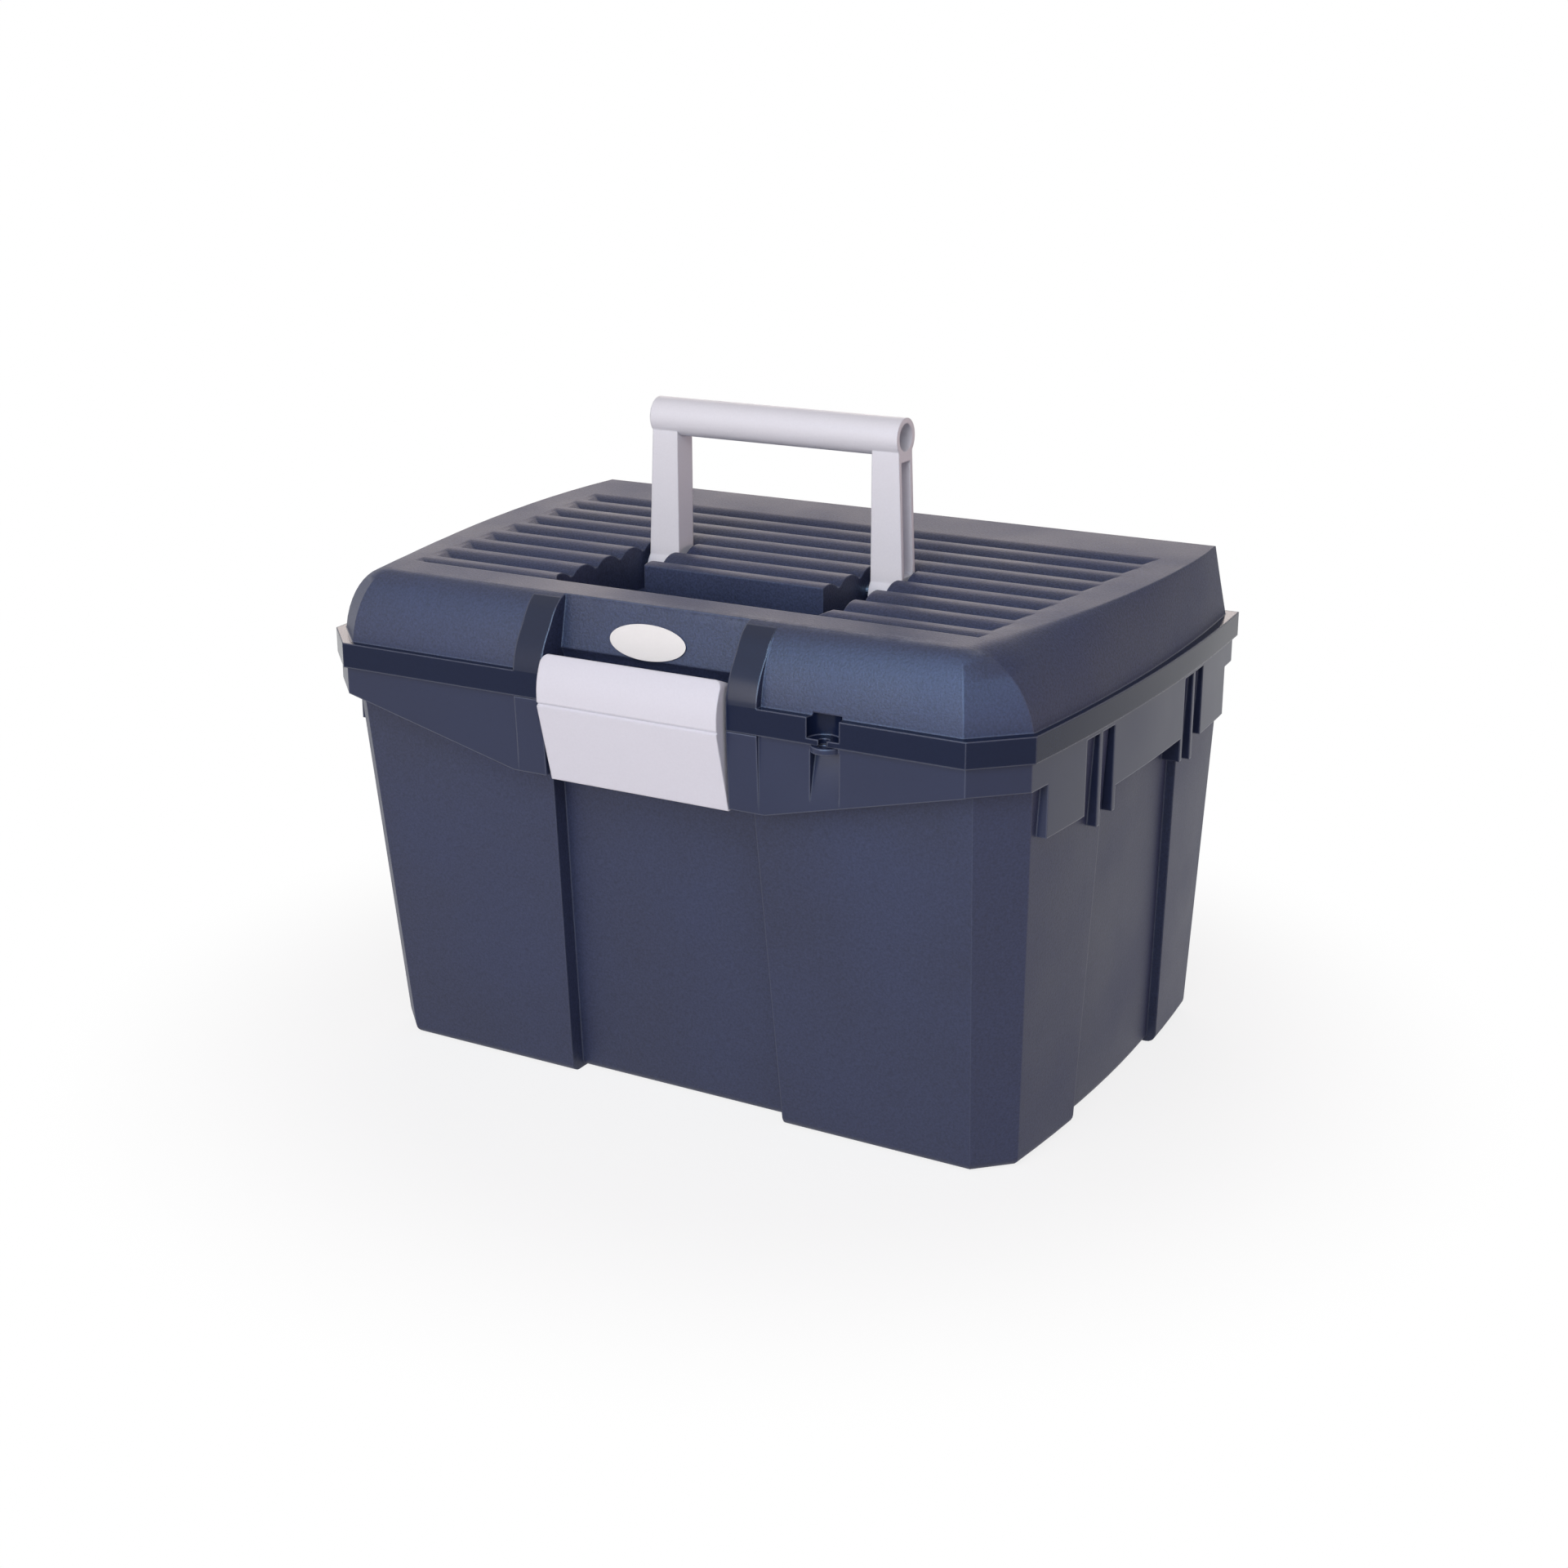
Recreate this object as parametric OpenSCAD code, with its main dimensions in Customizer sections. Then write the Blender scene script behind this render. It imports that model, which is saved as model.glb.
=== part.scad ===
// Horse grooming box: a moulded tub with a hinged lid, carry handle, front latch and lift-out tray.
// Millimetres. X runs along the box, -Y is the front, Z is up and the floor is Z = 0.

/* [Rim] */
// Width between the rim's corners
rim_w = 388; // [360:1:420]
// Depth of the rim, front to back
rim_d = 282; // [264:1:300]
// How far each end bows out at its middle
end_bow = 6; // [3:0.5:9]
// Legs of the 45 degree cuts at the rim's front corners
corner_cut = 23; // [18:0.5:28]
// Height of the parting line between tub and lid
parting_z = 209; // [195:1:225]
// Height of the lid's rim band
rim_h = 12.5; // [11:0.5:16]
// Gap between lid and tub when shut
shut_gap = 0.3; // [0.2:0.1:0.6]
// Moulded wall of the tub and of the lid
wall = 2.6; // [2:0.1:3]

/* [Tub] */
// Thickness of the tub's floor
floor_t = 3; // [2:0.5:5]
// How far the tub's foot stands in from the rim at the front
foot_in_front = 33; // [28:0.5:38]
// How far the tub's foot stands in from the rim at the back
foot_in_back = 13; // [11:0.5:18]
// How far the tub's foot stands in from the rim at each end
foot_in_end = 14; // [10:0.5:18]
// Rounding of the tub's lower edge
foot_round = 5; // [3:0.5:5]
// Legs of the corner cuts at the tub's foot
foot_cut = 17; // [14:0.5:20]
// Legs of the corner cuts at the parting line
top_cut = 20; // [17:0.5:23]
// How far the tub's wall stands in from the rim at the parting line, front
top_in_front = 11; // [9:0.5:14]
// How far the tub's wall stands in from the rim at the parting line, back
top_in_back = 9.5; // [8:0.5:11]
// How far the tub's wall stands in from the rim at the parting line, ends
top_in_end = 4.5; // [4:0.5:7]
// Height of the tub's lip inside the lid
lip_h = 4; // [2:0.5:5]
// Clearance round the tub's lip inside the lid
lip_gap = 0.6; // [0.4:0.1:1]
// Depth of the recessed panel in the middle of the front and of the back
front_recess = 9; // [5:0.5:10]
// Depth of the recessed panel in the middle of each end
end_recess = 5; // [3:0.5:6]
// Half width of the front panel at the floor
panel_half_foot = 62; // [58:0.5:68]
// Half width of the front panel at the parting line
panel_half_top = 55; // [54.5:0.5:58]
// Front edge of the end panel
end_panel_front = -36; // [-42:1:-30]
// Back edge of the end panel at the floor
end_panel_back_foot = 75; // [68:1:82]
// Back edge of the end panel at the parting line
end_panel_back_top = 58; // [52:1:64]

/* [Collar] */
// How far the collar's face stands in from the rim
collar_in = 2; // [1:0.25:3]
// Thickness of the collar's skin
collar_t = 2.4; // [2:0.1:3]
// Lower edge of the collar at the corners and at the back, below the parting line
collar_drop = 13.5; // [10:0.5:18]
// Lower edge of the collar beside the latch, below the parting line
apron_drop = 38; // [32:0.5:42]
// Half width of the apron's level middle
apron_half = 70; // [68:0.5:80]
// Lower edge of the front and back end tabs, below the parting line
tab_drop = 39; // [36:0.5:42]
// Lower edge of the middle end tab, below the parting line
mid_tab_drop = 33; // [28:0.5:36]
// Lower end of the fins, below the parting line
fin_drop = 48; // [44:0.5:52]
// Thickness of the fins
fin_t = 3; // [2:0.25:4]
// Front edge of the front end tab
tab_front_start = -102; // [-108:0.5:-96]
// Back edge of the front end tab
tab_front_end = -65; // [-68:0.5:-60]
// Front edge of the middle end tab
mid_tab_front = -35; // [-39:0.5:-33]
// Back edge of the middle end tab
mid_tab_back = 56; // [54:0.5:60]
// Front edge of the back end tab
tab_back_start = 85; // [80:0.5:90]
// Back edge of the back end tab
tab_back_end = 126; // [118:0.5:130]

/* [Lid] */
// Height of the lid's top above the parting line, at its back edge
lid_top_back = 50; // [46:0.5:56]
// Height of the lid's top above the parting line, where the front roll starts
lid_top_front = 47.6; // [44:0.5:50]
// How far the dome's foot stands in from the rim at the front
dome_in_front = 4.2; // [3:0.2:6]
// How far the dome's foot stands in from the rim at the back
dome_in_back = 7.5; // [5:0.5:9]
// How far the dome's foot stands in from the rim at each end
dome_in_end = 3.6; // [3:0.2:5]
// How far the dome's back edge leans in from its foot
dome_back_lean = 10; // [6:0.5:14]
// Where the front roll meets the flat top, behind the rim's front
roll_depth = 24.5; // [23:0.5:28]
// How far the dome's ends lean in at the back
end_lean_back = 5; // [3:0.5:8]
// How far the dome's ends lean in at the front
end_lean_front = 34; // [30:0.5:36]
// How quickly the lean of the dome's ends fades towards the back
lean_fade = 1.5; // [1:0.1:2]
// How far the dome's ends bow out along their top edge
top_bow = 8; // [5:0.5:10]
// Share of the front roll that leans straight before it rounds over
roll_lean = 0.15; // [0.1:0.05:0.3]
// Legs of the corner cuts where they die out at the lid's top
facet_tip = 1; // [0.75:0.25:2]

/* [Ribs] */
// Number of ribs across the lid's top
rib_count = 9; // [7:1:10]
// Spacing of the ribs
rib_pitch = 21.8; // [20:0.2:22]
// Depth of the valleys between the ribs
rib_depth = 3.6; // [2:0.2:4]
// How much the rib crests are flattened to lie level with the border
crest_flat = 0.08; // [0.04:0.02:0.2]
// Width of the narrow valley floors
valley_w = 2; // [1:0.25:4]
// Length of the ramps at both ends of the ribbed field
rib_ramp = 9; // [6:0.5:12]
// Front edge of the ribbed field, behind the rim's front
rib_start = 42; // [40:0.5:46]
// Flat border beside the ribbed field at its front
rib_border = 5; // [4:0.5:10]
// How much further each side of the ribbed field reaches out at its back
rib_spread = 14; // [8:0.5:16]

/* [Handle] */
// How far the grip tube's ends stand past the arms
grip_over = 0.4; // [0.2:0.1:1.5]
// Outer diameter of the grip tube
grip_d = 19; // [17:0.25:20]
// Bore of the grip tube
grip_bore = 13.4; // [11:0.2:14.5]
// Height of the grip's axis over the pivot
handle_rise = 77.8; // [72:0.2:82]
// Depth of the arms, front to back
arm_d = 14; // [12:0.25:16]
// Width of the arms at the grip
arm_w_top = 14.4; // [12:0.2:15]
// Width of the arms at the pivot
arm_w_foot = 17.8; // [15:0.2:18]
// Wall of the channel arms
arm_wall = 2.4; // [2:0.1:3]
// Radius of the round foot of the arms
arm_foot_r = 9.6; // [9:0.1:10]
// Pivot of the handle, behind the box's centre line
handle_y = -2.8; // [-8:0.2:2]
// Pivot of the handle below the lid's back edge
handle_sink = 13; // [12:0.25:15]
// Diameter of the handle's pivot pins
handle_pin_d = 6; // [5:0.25:7]
// How far the pivot pins are let into the lid
pin_seat = 6; // [5:0.5:8]
// Wall of the bosses round the pivot pins
boss_wall = 3; // [2:0.25:3.5]
// Running clearance on the radius of every pivot
run_fit = 0.06; // [0.03:0.01:0.1]

/* [Handle recess] */
// Half width of the island between the arms
island_half = 51; // [48:0.5:53]
// Side clearance between arm and island
arm_side_gap = 4.6; // [3:0.1:5]
// Side clearance between arm and recess wall
recess_side_gap = 2.6; // [2:0.2:4]
// Radius of the recess's front corners
recess_round = 10; // [6:0.5:12]
// Clearance under the folded grip
grip_gap = 2.4; // [1:0.2:4]
// Finger room in front of the folded grip
grip_front_gap = 7; // [5:0.5:8]
// Back wall of the recess behind the pivot
recess_back = 12.5; // [11.5:0.5:16]
// Front wall of the island, in front of the pivot
island_front = 47; // [42:1:52]

/* [Latch] */
// Width of the latch
latch_w = 99; // [90:1:100]
// Side gap between the latch and its recess
latch_gap = 1.5; // [0.8:0.1:2]
// How far the latch stands out in front of the rim
latch_out = 6; // [4:0.25:7]
// Height of the latch's top edge above the parting line
latch_top = 23.4; // [20:0.2:25]
// How far the latch's top edge rolls back from its front
latch_roll = 6; // [4:0.25:7]
// Lower edge of the latch below the parting line
latch_drop = 40; // [36:0.5:44]
// How far the latch's lower edge stands back from its front
latch_tuck = 10.5; // [8:0.25:12]
// Skin of the latch
latch_t = 2.4; // [2:0.1:3]
// Pivot of the latch behind its front
latch_pivot_in = 13.4; // [12.5:0.1:14.5]
// Pivot of the latch above the parting line
latch_pivot_up = 14; // [13:0.25:15]
// Diameter of the latch's pivot pin
latch_pin_d = 4; // [3:0.25:5]
// Height of the latch's widest bulge above the parting line
latch_bulge = 5; // [3:0.5:7]
// Radius of the latch's top corners
latch_round = 4; // [2:0.25:5]
// Clearance behind the latch's top edge as it swings
swing_gap = 1; // [0.6:0.1:1.4]
// Thickness of the latch's side cheeks
cheek_t = 3; // [2:0.25:4]
// Radius of the latch's pivot ears
ear_r = 6; // [5:0.25:7]
// Top of the tub's catch shelf below the parting line
catch_drop = 19; // [16:0.5:24]
// Thickness of the tub's catch shelf
catch_t = 4; // [3:0.5:5]
// Half width of the bead that meets the catch shelf
bead_half = 30; // [20:1:40]
// Width of the groove across the latch
groove_w = 2; // [1.5:0.1:3]
// Depth of the groove across the latch
latch_groove = 1.2; // [0.8:0.1:1.6]
// Width of the glossy strips beside the latch recess
strip_w = 16; // [12:0.5:18]
// Top edge of the strips above the parting line
strip_top = 46; // [43:0.5:46.5]
// Height above the parting line at which the strips come down to the dome
strip_meet = 35; // [30:0.5:40]
// How far the strips stand out of the dome above that height
strip_out = 0.4; // [0.3:0.1:0.8]
// Top of the flat panel behind the latch, behind the rim's front
panel_in = 22.4; // [21.6:0.2:23]
// Top of the flat panel behind the latch, below the lid's front top edge
panel_drop = 2.6; // [2:0.2:4]
// Lean of the flat panel behind the latch, in degrees
panel_lean = 12; // [10:0.5:14]

/* [Badge] */
// Length of the oval badge
badge_w = 42; // [36:0.5:48]
// Height of the oval badge
badge_h = 17; // [14:0.5:20]
// Thickness of the badge
badge_t = 0.8; // [0.4:0.1:1.5]
// Centre of the badge to the right of the middle
badge_x = -2.5; // [-4:0.5:4]
// Centre of the badge above the parting line
badge_up = 30; // [28:0.25:34]

/* [Hinges] */
// Distance of each hinge from the rim's corner
hinge_in = 84; // [72:1:96]
// Outer diameter of the hinge knuckles
knuckle_d = 12; // [10:0.25:13]
// Length of the lid's knuckle
knuckle_mid = 30; // [22:1:36]
// Length of each of the tub's knuckles
knuckle_end = 14; // [10:1:18]
// Gap between the ends of neighbouring knuckles
knuckle_gap = 0.4; // [0.3:0.1:0.8]
// Clearance round the knuckles
knuckle_clear = 0.5; // [0.4:0.1:1]
// Diameter of the hinge pins
hinge_pin_d = 4; // [3:0.25:5]
// Hinge axis behind the rim's back
hinge_back = 0; // [0:0.25:1.5]

/* [Padlock eye] */
// Distance of the padlock eye from the centre
eye_x = 101; // [97:1:108]
// Hole for the padlock's shackle
eye_hole = 5; // [4:0.1:5.4]
// Clearance between the shackle's hole and the dome above it
eye_hole_gap = 0.3; // [0.2:0.1:0.6]
// Radius of the tub's eye
eye_r = 7.4; // [7:0.1:8]
// How far the tub's eye stands out in front of the rim
eye_out = 3.2; // [2:0.2:4]
// Gap round the tub's eye in the rim's notch
eye_gap = 0.9; // [0.6:0.1:1.2]
// Thickness of the tub's eye and of the lid's ledge over it
eye_t = 2.8; // [2:0.2:4]
// Height of the scoop below the tub's eye
scoop_h = 25; // [22:0.5:26]
// How far the scoop's top reaches behind the shackle's hole
scoop_room = 3.8; // [3:0.2:5]

/* [Tray] */
// Height of the tray
tray_h = 46; // [40:1:50]
// Clearance between the tray and the tub's wall
tray_gap = 2; // [1:0.25:4]
// Top of the tray below the parting line
tray_down = 4; // [3:0.5:8]
// Wall of the tray
tray_wall = 2; // [1.6:0.1:3]
// Half length of the tray's middle compartment
tray_mid = 62; // [50:1:75]
// How far the ledges under the tray reach in
ledge_w = 8; // [6:0.5:12]
// Half length of the ledges under the tray
ledge_half = 60; // [40:1:80]
// Thickness of the ledges under the tray
ledge_t = 5; // [3:0.5:8]

/* [Hidden] */
$fn = 48;
eps = 0.01;
far = 400;
end_steps = 12;
dome_steps = 12;
foot_steps = 5;
ramp_over = 0.3;

navy = [0.20, 0.22, 0.31];
light_grey = [0.84, 0.84, 0.88];
white = [0.95, 0.95, 0.94];
steel = [0.70, 0.71, 0.73];

rim_half = rim_w / 2;
rim_front = -rim_d / 2;
rim_back = rim_d / 2;
corner_y = rim_front + corner_cut;
tub_top = parting_z - shut_gap / 2;
lid_foot = parting_z + shut_gap / 2;
lip_top = parting_z + lip_h;
rim_top = lid_foot + rim_h;
plate_low = tub_top - wall;

collar_face = rim_front + collar_in;
collar_low = parting_z - collar_drop;
apron_low = parting_z - apron_drop;
tab_low = parting_z - tab_drop;
mid_tab_low = parting_z - mid_tab_drop;
fin_low = parting_z - fin_drop;

hinge_x = rim_half - hinge_in;
hinge_y = rim_back + hinge_back;
hinge_z = parting_z;
knuckle_r = knuckle_d / 2;
knuckle_a = knuckle_mid / 2;
knuckle_b = knuckle_a + knuckle_gap;
knuckle_c = knuckle_b + knuckle_end;

latch_half = latch_w / 2;
bay_half = latch_half + latch_gap;
latch_front = rim_front - latch_out;
latch_y = latch_front + latch_pivot_in;
latch_z = parting_z + latch_pivot_up;
latch_reach = norm([latch_roll - latch_pivot_in, latch_top - latch_pivot_up]) + swing_gap;
catch_z = parting_z - catch_drop;
catch_front = latch_front + latch_tuck + latch_t;

lid_back_z = parting_z + lid_top_back;
lid_front_z = parting_z + lid_top_front;
dome_front = rim_front + dome_in_front;
dome_back = rim_back - dome_in_back;
dome_back_top = dome_back - dome_back_lean;
dome_half = rim_half - dome_in_end;
roll_end = rim_front + roll_depth;
panel_top_y = rim_front + panel_in;
panel_top_z = lid_front_z - panel_drop;

rib_front = rim_front + rib_start;
rib_back = rib_front + (rib_count - 0.5) * rib_pitch;
rib_half = dome_x(rib_front, 1) - rib_border;
rib_slant = atan(rib_spread / (rib_back - rib_front));
rib_chord = rib_pitch - valley_w;
rib_rise = rib_depth + crest_flat;
rib_r = (rib_chord * rib_chord / 4 + rib_rise * rib_rise) / (2 * rib_rise);
top_slope = atan((lid_back_z - lid_front_z) / (dome_back_top - roll_end));

handle_z = lid_back_z - handle_sink;
grip_z = handle_z + handle_rise;
grip_r = grip_d / 2;
arm_in = island_half + arm_side_gap;
arm_out = arm_in + arm_w_foot;
grip_half = arm_in + arm_w_top + grip_over;
recess_half = max(arm_out, grip_half) + recess_side_gap;
recess_floor = handle_z - max(grip_r, arm_foot_r) - grip_gap;
recess_front = handle_y - handle_rise - grip_r - grip_front_gap;
recess_end = handle_y + recess_back;
island_y = handle_y - island_front;

eye_y = rim_front - eye_out + eye_r;
eye_hole_y = dome_front - eye_hole_gap - eye_hole / 2;
notch_r = eye_r + eye_gap;
eye_low = tub_top - eye_t;

tray_z0 = parting_z - tray_down - tray_h;
tray_share = tray_z0 / parting_z;
tray_in = wall + tray_gap;
tray_half = rim_half - mix(foot_in_end, top_in_end, tray_share) - end_recess - tray_in;
ledge_top = tray_z0 - shut_gap;

function mix(a, b, t) = a + (b - a) * t;

// How far a bowed edge stands out at share t of its length.
function bowed(bow, t) = bow * (1 - pow(2 * t - 1, 2));

// The cut of a 45 degree corner when the outline steps in by d.
function inner_cut(cut, d) = cut - d * (2 - sqrt(2));

// A convex outline: straight front with cut corners, bowed ends, straight back.
function plan(half, front, back, bow, cut) = let(n = end_steps)
  concat(
    [[-half + cut, front], [half - cut, front]],
    [for (i = [0:n]) [half + bowed(bow, i / n), mix(front + cut, back, i / n)]],
    [for (i = [n:-1:0]) [-half - bowed(bow, i / n), mix(front + cut, back, i / n)]]);

function box_plan(x0, x1, y0, y1) = [[x0, y0], [x1, y0], [x1, y1], [x0, y1]];

function at_height(outline, z) = [for (p = outline) [p.x, p.y, z]];

// A solid through a stack of rings that all have the same number of points.
module ring_stack(rings) {
  n = len(rings[0]);
  m = len(rings) - 1;
  polyhedron(
    points = [for (ring = rings) for (p = ring) p],
    faces = concat(
      [[for (i = [0:n - 1]) i]],
      [[for (i = [n - 1:-1:0]) m * n + i]],
      [for (k = [0:m - 1]) for (i = [0:n - 1]) let(a = k * n, b = a + n) [a + i, b + i, b + (i + 1) % n]],
      [for (k = [0:m - 1]) for (i = [0:n - 1])
        let(a = k * n, j = (i + 1) % n) [a + i, a + n + j, a + j]]));
}

module loft(low, z_low, high, z_high) {
  ring_stack([at_height(low, z_low), at_height(high, z_high)]);
}

// A side profile, drawn as (y, z), stretched along X between x0 and x1.
module along_x(x0, x1) {
  translate([x0, 0, 0]) rotate([90, 0, 90]) linear_extrude(x1 - x0) children();
}

// A front profile, drawn as (x, z), stretched along Y between y0 and y1.
module along_y(y0, y1) {
  translate([0, y1, 0]) rotate([90, 0, 0]) linear_extrude(y1 - y0) children();
}

module slab(x0, x1, y0, y1, z0, z1) {
  translate([x0, y0, z0]) cube([x1 - x0, y1 - y0, z1 - z0]);
}

module both_sides() {
  children();
  mirror([1, 0, 0]) children();
}

// A round bar along X.
module bar(x0, x1, y, z, r) {
  translate([x0, y, z]) rotate([0, 90, 0]) cylinder(h = x1 - x0, r = r);
}

// A round post at the padlock eye.
module eye_post(y, z0, z1, r) {
  translate([eye_x, y, z0]) cylinder(h = z1 - z0, r = r);
}

// The span from x0 to x1 of both hinges, measured from each hinge's middle.
module knuckle_spans(x0, x1, r) {
  both_sides() bar(hinge_x + x0, hinge_x + x1, hinge_y, hinge_z, r);
}

// Tub outline at height z, stepped in by d all round; recessed gives the panels between the corners.
function tub_plan(z, d, recessed) = let(
    t = z / parting_z,
    front_in = mix(foot_in_front, top_in_front, t) + (recessed ? front_recess : 0),
    back_in = mix(foot_in_back, top_in_back, t) + (recessed ? end_recess : 0),
    end_in = mix(foot_in_end, top_in_end, t) + (recessed ? end_recess : 0),
    cut = inner_cut(mix(foot_cut, top_cut, t), d))
  plan(rim_half - end_in - d, rim_front + front_in + d, rim_back - back_in - d, end_bow, cut);

// The tub's outline at several levels, each a height and the step in from the outer faces there.
module tub_stack(levels, recessed) {
  ring_stack([for (l = levels) at_height(tub_plan(l[0], l[1], recessed), l[0])]);
}

// Levels of the tub's outer faces: the rounded lower edge, then straight up to the lip.
function outer_levels() = concat(
  [for (k = [0:foot_steps]) let(a = 90 * k / foot_steps) foot_round * [1 - cos(a), 1 - sin(a)]],
  [[lip_top, 0]]);

function straight_levels(d, z0, z1) = [[z0, d], [z1, d]];

// The solid inside the tub's outer faces, or inside its walls when d is the wall.
module tub_form(d, levels) {
  tub_stack(levels, true);
  intersection() {
    tub_stack(levels, false);
    both_sides() {
      tub_corner(d, -far, end_panel_front - d, -far, end_panel_front - d);
      tub_corner(d, end_panel_back_foot + d, far, end_panel_back_top + d, far);
    }
  }
}

// One corner zone, given its Y span at the floor and at the parting line.
module tub_corner(d, foot_y0, foot_y1, top_y0, top_y1) {
  loft(box_plan(panel_half_foot + d, far, foot_y0, foot_y1), -eps,
    box_plan(panel_half_top + d, far, top_y0, top_y1), lip_top + wall);
}

function collar_plan(d) =
  plan(rim_half - collar_in - d, collar_face + d, rim_back - collar_in - d, end_bow,
    inner_cut(corner_cut, collar_in + d));

module collar_solid() {
  translate([0, 0, fin_low]) linear_extrude(tub_top - fin_low) polygon(collar_plan(0));
}

// Everything that the collar's lower edge leaves away at the front.
module below_apron() {
  slope_end = rim_half - corner_cut;
  along_y(-far, corner_y) polygon([
    [-far, 0], [far, 0], [far, collar_low], [slope_end, collar_low], [apron_half, apron_low],
    [-apron_half, apron_low], [-slope_end, collar_low], [-far, collar_low]]);
}

// Everything that the collar's lower edge leaves away at the ends and at the back.
module below_end_tabs() {
  along_x(-far, far) polygon([
    [corner_y, 0], [far, 0], [far, collar_low], [tab_back_end, collar_low], [tab_back_end, tab_low],
    [tab_back_start, tab_low], [tab_back_start, plate_low], [mid_tab_back, plate_low],
    [mid_tab_back, mid_tab_low], [mid_tab_front, mid_tab_low], [mid_tab_front, plate_low],
    [tab_front_end, plate_low], [tab_front_end, tab_low], [tab_front_start, tab_low],
    [tab_front_start, collar_low], [corner_y, collar_low]]);
}

module collar_skin() {
  difference() {
    collar_solid();
    translate([0, 0, fin_low - eps]) linear_extrude(plate_low - fin_low + eps)
      polygon(collar_plan(collar_t));
    below_apron();
    below_end_tabs();
    slab(-bay_half, bay_half, -far, rim_front + top_in_front + front_recess, fin_low - eps, tub_top + eps);
  }
}

// Upright webs behind the end tabs, and the two fins between them.
module end_webs() {
  webs = [
    [tab_front_start, tab_low], [tab_front_end - fin_t, tab_low],
    [(tab_front_end + mid_tab_front - fin_t) / 2, fin_low], [mid_tab_front, fin_low + fin_t],
    [mid_tab_back - fin_t, fin_low + fin_t], [(mid_tab_back + tab_back_start - fin_t) / 2, fin_low],
    [tab_back_start, tab_low], [tab_back_end - fin_t, tab_low]];
  web_in = rim_half - foot_in_end - end_recess;
  intersection() {
    collar_solid();
    both_sides() for (w = webs) slab(web_in, far, w[0], w[0] + fin_t, w[1], tub_top);
  }
}

// Side cheeks of the latch bay: proud of the collar at the top, flush at the bottom.
module latch_cheeks() {
  back = rim_front + foot_in_front;
  both_sides() loft(
    box_plan(bay_half, bay_half + strip_w, collar_face, back), apron_low,
    box_plan(bay_half, bay_half + strip_w, rim_front, back), tub_top);
}

// The shelf that the latch's bead snaps against.
module catch_shelf() {
  slab(-bay_half - eps, bay_half + eps, catch_front, rim_front + foot_in_front, catch_z - catch_t, catch_z);
}

// The scoop below the tub's eye, grown by d.
module eye_scoop(d) {
  along_x(eye_x - eye_r - d, eye_x + eye_r + d) polygon([
    [collar_face + d, eye_low - scoop_h - d], [eye_hole_y + eye_hole / 2 + scoop_room + d, eye_low],
    [rim_front - wall, eye_low], [rim_front - wall, eye_low - scoop_h - d]]);
}

module tub_eye() {
  eye_post(eye_y, eye_low, tub_top, eye_r);
  difference() {
    intersection() {
      collar_solid();
      eye_scoop(collar_t);
    }
    below_apron();
  }
}

// The tub's knuckles stand on webs that reach the collar's back.
module tub_knuckles() {
  both_sides() for (x = [hinge_x - knuckle_c, hinge_x + knuckle_b]) {
    bar(x, x + knuckle_end, hinge_y, hinge_z, knuckle_r);
    slab(x, x + knuckle_end, rim_back - top_in_back - eps, hinge_y, hinge_z - knuckle_r, tub_top);
  }
}

module tray_ledges() {
  intersection() {
    tub_form(eps, straight_levels(eps, floor_t, tub_top));
    both_sides() slab(tray_half - ledge_w, far, -ledge_half, ledge_half, ledge_top - ledge_t, ledge_top);
  }
}

module tub() {
  color(navy) difference() {
    union() {
      difference() {
        union() {
          tub_form(0, outer_levels());
          collar_skin();
          end_webs();
          latch_cheeks();
          catch_shelf();
          tub_eye();
        }
        tub_form(wall, straight_levels(wall, floor_t, lip_top + eps));
      }
      tray_ledges();
      tub_knuckles();
    }
    eye_scoop(0);
    eye_post(eye_hole_y, eye_low - eps, tub_top + eps, eye_hole / 2);
    knuckle_spans(-knuckle_b, knuckle_b, knuckle_r + knuckle_clear);
    knuckle_spans(-knuckle_c - eps, knuckle_c + eps, hinge_pin_d / 2);
  }
}

// Height of the lid's top at depth y.
function lid_z(y) = mix(lid_front_z, lid_back_z, (y - roll_end) / (dome_back_top - roll_end));

// Share of the front roll's depth at share s of its height.
function roll(s) = roll_lean * s + (1 - roll_lean) * (1 - sqrt(1 - s * s));

// Share of the dome's height at step k; the steps close up towards the top.
function dome_share(k) = 1 - pow(1 - k / dome_steps, 2);

// Half width of the dome at depth y and share s of its height.
function dome_x(y, s) = let(
    t = (y - corner_y) / (dome_back_top - corner_y),
    lean = mix(end_lean_back, end_lean_front, pow(max(0, 1 - t), lean_fade)))
  dome_half + bowed(mix(end_bow, top_bow, s), t) - lean * mix(roll(s), s, t);

// Depth of the dome's front at share s of its height.
function dome_y(s) = mix(dome_front, roll_end, roll(s));

// One ring of the dome at share s of its height, stepped in and down by d.
function dome_ring(s, d) = let(
    n = end_steps,
    front = dome_y(s) + d,
    back = dome_back - dome_back_lean * s - d,
    cut = inner_cut(mix(corner_cut, facet_tip + d, roll(s)), d),
    ends = [for (i = [0:n]) let(y = mix(front + cut, back, i / n)) [dome_x(y, s) - d, y]],
    outline = concat(
      [[-ends[0].x + cut, front], [ends[0].x - cut, front]],
      ends,
      [for (i = [n:-1:0]) [-ends[i].x, ends[i].y]]))
  [for (p = outline) [p.x, p.y, mix(rim_top, lid_z(p.y), s) - d]];

module dome(d) {
  ring_stack([for (k = [0:dome_steps]) dome_ring(dome_share(k), d)]);
}

// The space inside the dome, level under the ribs.
module dome_hollow() {
  under = rib_depth + wall;
  difference() {
    dome(wall);
    along_x(-far, far) polygon([[rim_front, lid_z(rim_front) - under], [rim_back, lid_z(rim_back) - under],
      [rim_back, far], [rim_front, far]]);
  }
}

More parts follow.
